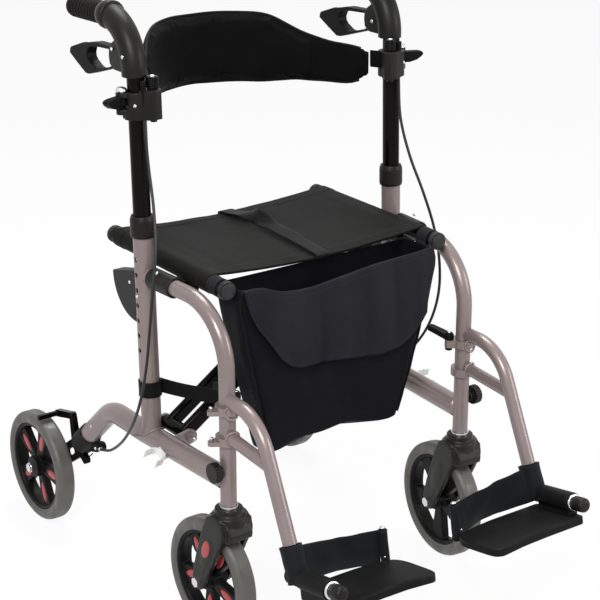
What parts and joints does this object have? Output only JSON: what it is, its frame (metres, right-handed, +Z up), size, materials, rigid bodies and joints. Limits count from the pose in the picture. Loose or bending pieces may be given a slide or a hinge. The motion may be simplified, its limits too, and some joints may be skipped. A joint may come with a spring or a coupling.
{
  "type": "rollator transport chair",
  "caption": "Folding four-wheeled walking frame that is also a pushed chair, with swing-away footrests, sling seat, curved backrest band, bag and height-adjustable brake handles.",
  "frame": {"origin": "on the floor, in the middle of the footprint", "axes": "+Z up; -Y is the way the sitter faces; +X is the sitter's left"},
  "size_m": [0.628, 0.9777, 0.974],
  "materials": {
    "frame_paint": "satin rose-grey metallic powder coat",
    "black_tube": "gloss black coat",
    "black_plastic": "fine grain",
    "fork_plastic": "satin",
    "wheel_plastic": "satin",
    "clip_plastic": "milky",
    "steel": "plated",
    "tyre": "soft polyurethane",
    "cable_sheath": "smooth",
    "grip_rubber": "matte ribbed",
    "webbing": "woven nylon",
    "seat_cloth": "coated woven nylon",
    "bag_cloth": "coated woven nylon"
  },
  "bodies": {
    "right_side": {"right_rear_frame": "frame_paint", "right_front_arch": "frame_paint", "right_post_collar": "black_plastic", "right_arch_joint": "black_plastic", "right_storage_clip": "clip_plastic", "right_rear_bracket": "black_plastic", "right_rear_axle": "steel", "right_brake_cable": "cable_sheath"},
    "left_side": {"left_rear_frame": "frame_paint", "left_front_arch": "frame_paint", "left_post_collar": "black_plastic", "left_arch_joint": "black_plastic", "left_storage_clip": "clip_plastic", "left_rear_bracket": "black_plastic", "left_rear_axle": "steel", "left_brake_cable": "cable_sheath"},
    "brace_right": {"brace_right": "black_tube", "seat": "seat_cloth", "pull_strap": "webbing"},
    "brace_left": {"brace_left": "black_tube"},
    "bag": {"bag": "bag_cloth"},
    "right_handle": {"right_handle_post": "black_tube", "right_hand_grip": "grip_rubber", "right_backrest_clamp": "black_plastic", "backrest": "seat_cloth"},
    "right_clamp_lever": {"right_clamp_lever": "black_plastic"},
    "right_brake_lever": {"right_brake_lever": "black_plastic"},
    "right_snap_button": {"right_snap_button": "steel"},
    "right_rear_wheel": {"right_rear_tyre": "tyre", "right_rear_wheel": "wheel_plastic"},
    "right_brake_arm": {"right_brake_arm": "black_plastic"},
    "right_caster": {"right_caster_fork": "fork_plastic", "right_caster_hardware": "steel"},
    "right_front_wheel": {"right_front_tyre": "tyre", "right_front_wheel": "wheel_plastic"},
    "right_hanger": {"right_hanger": "frame_paint", "right_footplate_hinge": "black_plastic", "right_heel_strap": "webbing"},
    "right_hanger_latch": {"right_hanger_latch": "black_plastic"},
    "right_footplate": {"right_footplate": "black_plastic"},
    "right_side_knob": {"right_side_knob": "black_plastic"},
    "left_handle": {"left_handle_post": "black_tube", "left_hand_grip": "grip_rubber", "left_backrest_clamp": "black_plastic"},
    "left_clamp_lever": {"left_clamp_lever": "black_plastic"},
    "left_brake_lever": {"left_brake_lever": "black_plastic"},
    "left_snap_button": {"left_snap_button": "steel"},
    "left_rear_wheel": {"left_rear_tyre": "tyre", "left_rear_wheel": "wheel_plastic"},
    "left_brake_arm": {"left_brake_arm": "black_plastic"},
    "left_caster": {"left_caster_fork": "fork_plastic", "left_caster_hardware": "steel"},
    "left_front_wheel": {"left_front_tyre": "tyre", "left_front_wheel": "wheel_plastic"},
    "left_hanger": {"left_hanger": "frame_paint", "left_footplate_hinge": "black_plastic", "left_heel_strap": "webbing"},
    "left_hanger_latch": {"left_hanger_latch": "black_plastic"},
    "left_footplate": {"left_footplate": "black_plastic"},
    "left_side_knob": {"left_side_knob": "black_plastic"}
  },
  "joints": [
    {"name": "fold", "type": "hinge", "parent": "right_side", "child": "brace_right", "pos_m": [-0.2025, 0, 0.293], "axis": [0, -1, 0], "range_deg": [0, 38], "deforming": ["seat", "pull_strap", "bag", "backrest"]},
    {"name": "cross_pivot", "type": "hinge", "parent": "brace_right", "child": "brace_left", "pos_m": [0, 0, 0.43375], "axis": [0, -1, 0], "range_deg": [-76, 0]},
    {"name": "left_fold", "type": "hinge", "parent": "brace_left", "child": "left_side", "pos_m": [0.2025, 0, 0.293], "axis": [0, -1, 0], "range_deg": [0, 38]},
    {"name": "bag_rise", "type": "slide", "parent": "right_side", "child": "bag", "axis": [0, 0, 1], "range_m": [0, 0.19]},
    {"name": "right_handle_slide", "type": "slide", "parent": "right_side", "child": "right_handle", "axis": [0, 0.0253, 0.9997], "range_m": [-0.15, 0], "deforming": ["right_brake_cable"]},
    {"name": "right_clamp_turn", "type": "hinge", "parent": "right_handle", "child": "right_clamp_lever", "pos_m": [-0.266, 0.04832, 0.8287], "axis": [0, -0.0253, -0.9997], "range_deg": [0, 80]},
    {"name": "right_brake_squeeze", "type": "hinge", "parent": "right_handle", "child": "right_brake_lever", "pos_m": [-0.243, 0.07798, 0.89397], "axis": [1, 0, 0], "range_deg": [0, 12], "stiffness_Nm_per_rad": 6, "springref_deg": -6.88},
    {"name": "right_button_press", "type": "slide", "parent": "right_handle", "child": "right_snap_button", "axis": [1, 0, 0], "range_m": [-0.0052, 0]},
    {"name": "right_rear_roll", "type": "hinge", "parent": "right_side", "child": "right_rear_wheel", "pos_m": [-0.265, 0.389, 0.1], "axis": [1, 0, 0], "continuous": true},
    {"name": "right_brake_close", "type": "hinge", "parent": "right_side", "child": "right_brake_arm", "pos_m": [-0.24, 0.30003, 0.17206], "axis": [1, 0, 0], "range_deg": [-2.75, 0]},
    {"name": "right_caster_turn", "type": "hinge", "parent": "right_side", "child": "right_caster", "pos_m": [-0.231, -0.175, 0.225], "axis": [0, 0, 1], "continuous": true},
    {"name": "right_front_roll", "type": "hinge", "parent": "right_caster", "child": "right_front_wheel", "pos_m": [-0.2332, -0.12825, 0.1], "axis": [0.9989, 0.0471, 0], "continuous": true},
    {"name": "right_hanger_swing", "type": "hinge", "parent": "right_side", "child": "right_hanger", "pos_m": [-0.231, -0.175, 0.38], "axis": [0, 0, -1], "range_deg": [0, 163.5]},
    {"name": "right_latch_press", "type": "hinge", "parent": "right_hanger", "child": "right_hanger_latch", "pos_m": [-0.209, -0.165, 0.41], "axis": [0, 0, -1], "range_deg": [0, 25], "stiffness_Nm_per_rad": 0.6, "springref_deg": -11.46},
    {"name": "right_footplate_flip", "type": "hinge", "parent": "right_hanger", "child": "right_footplate", "pos_m": [-0.234, -0.34883, 0.204], "axis": [0, -0.9816, 0.1908], "range_deg": [0, 90], "deforming": ["right_heel_strap"]},
    {"name": "right_knob_turn", "type": "hinge", "parent": "right_side", "child": "right_side_knob", "pos_m": [-0.25, -0.177, 0.306], "axis": [1, 0, 0], "continuous": true},
    {"name": "left_handle_slide", "type": "slide", "parent": "left_side", "child": "left_handle", "axis": [0, 0.0253, 0.9997], "range_m": [-0.15, 0], "deforming": ["left_brake_cable"]},
    {"name": "left_clamp_turn", "type": "hinge", "parent": "left_handle", "child": "left_clamp_lever", "pos_m": [0.266, 0.04832, 0.8287], "axis": [0, 0.0253, 0.9997], "range_deg": [0, 80]},
    {"name": "left_brake_squeeze", "type": "hinge", "parent": "left_handle", "child": "left_brake_lever", "pos_m": [0.243, 0.07798, 0.89397], "axis": [1, 0, 0], "range_deg": [0, 12], "stiffness_Nm_per_rad": 6, "springref_deg": -6.88},
    {"name": "left_button_press", "type": "slide", "parent": "left_handle", "child": "left_snap_button", "axis": [-1, 0, 0], "range_m": [-0.0052, 0]},
    {"name": "left_rear_roll", "type": "hinge", "parent": "left_side", "child": "left_rear_wheel", "pos_m": [0.265, 0.389, 0.1], "axis": [1, 0, 0], "continuous": true},
    {"name": "left_brake_close", "type": "hinge", "parent": "left_side", "child": "left_brake_arm", "pos_m": [0.24, 0.30003, 0.17206], "axis": [1, 0, 0], "range_deg": [-2.75, 0]},
    {"name": "left_caster_turn", "type": "hinge", "parent": "left_side", "child": "left_caster", "pos_m": [0.231, -0.175, 0.225], "axis": [0, 0, 1], "continuous": true},
    {"name": "left_front_roll", "type": "hinge", "parent": "left_caster", "child": "left_front_wheel", "pos_m": [0.23549, -0.12842, 0.1], "axis": [0.9954, -0.0958, 0], "continuous": true},
    {"name": "left_hanger_swing", "type": "hinge", "parent": "left_side", "child": "left_hanger", "pos_m": [0.231, -0.175, 0.38], "axis": [0, 0, 1], "range_deg": [0, 163.5]},
    {"name": "left_latch_press", "type": "hinge", "parent": "left_hanger", "child": "left_hanger_latch", "pos_m": [0.209, -0.165, 0.41], "axis": [0, 0, 1], "range_deg": [0, 25], "stiffness_Nm_per_rad": 0.6, "springref_deg": -11.46},
    {"name": "left_footplate_flip", "type": "hinge", "parent": "left_hanger", "child": "left_footplate", "pos_m": [0.234, -0.34883, 0.204], "axis": [0, 0.9816, -0.1908], "range_deg": [0, 90], "deforming": ["left_heel_strap"]},
    {"name": "left_knob_turn", "type": "hinge", "parent": "left_side", "child": "left_side_knob", "pos_m": [0.25, -0.177, 0.306], "axis": [1, 0, 0], "continuous": true}
  ],
  "couplings": [
    {"joint": "cross_pivot", "follows": "fold", "ratio": -2},
    {"joint": "left_fold", "follows": "fold", "ratio": 1},
    {"joint": "bag_rise", "follows": "fold", "m_per_rad": 0.2857},
    {"joint": "right_footplate_flip", "follows": "fold", "ratio": 2.3684},
    {"joint": "right_brake_close", "follows": "right_brake_squeeze", "ratio": -0.225},
    {"joint": "left_footplate_flip", "follows": "fold", "ratio": 2.3684},
    {"joint": "left_brake_close", "follows": "left_brake_squeeze", "ratio": -0.225},
    {"joint": "left_handle_slide", "follows": "right_handle_slide", "ratio": 1}
  ]
}
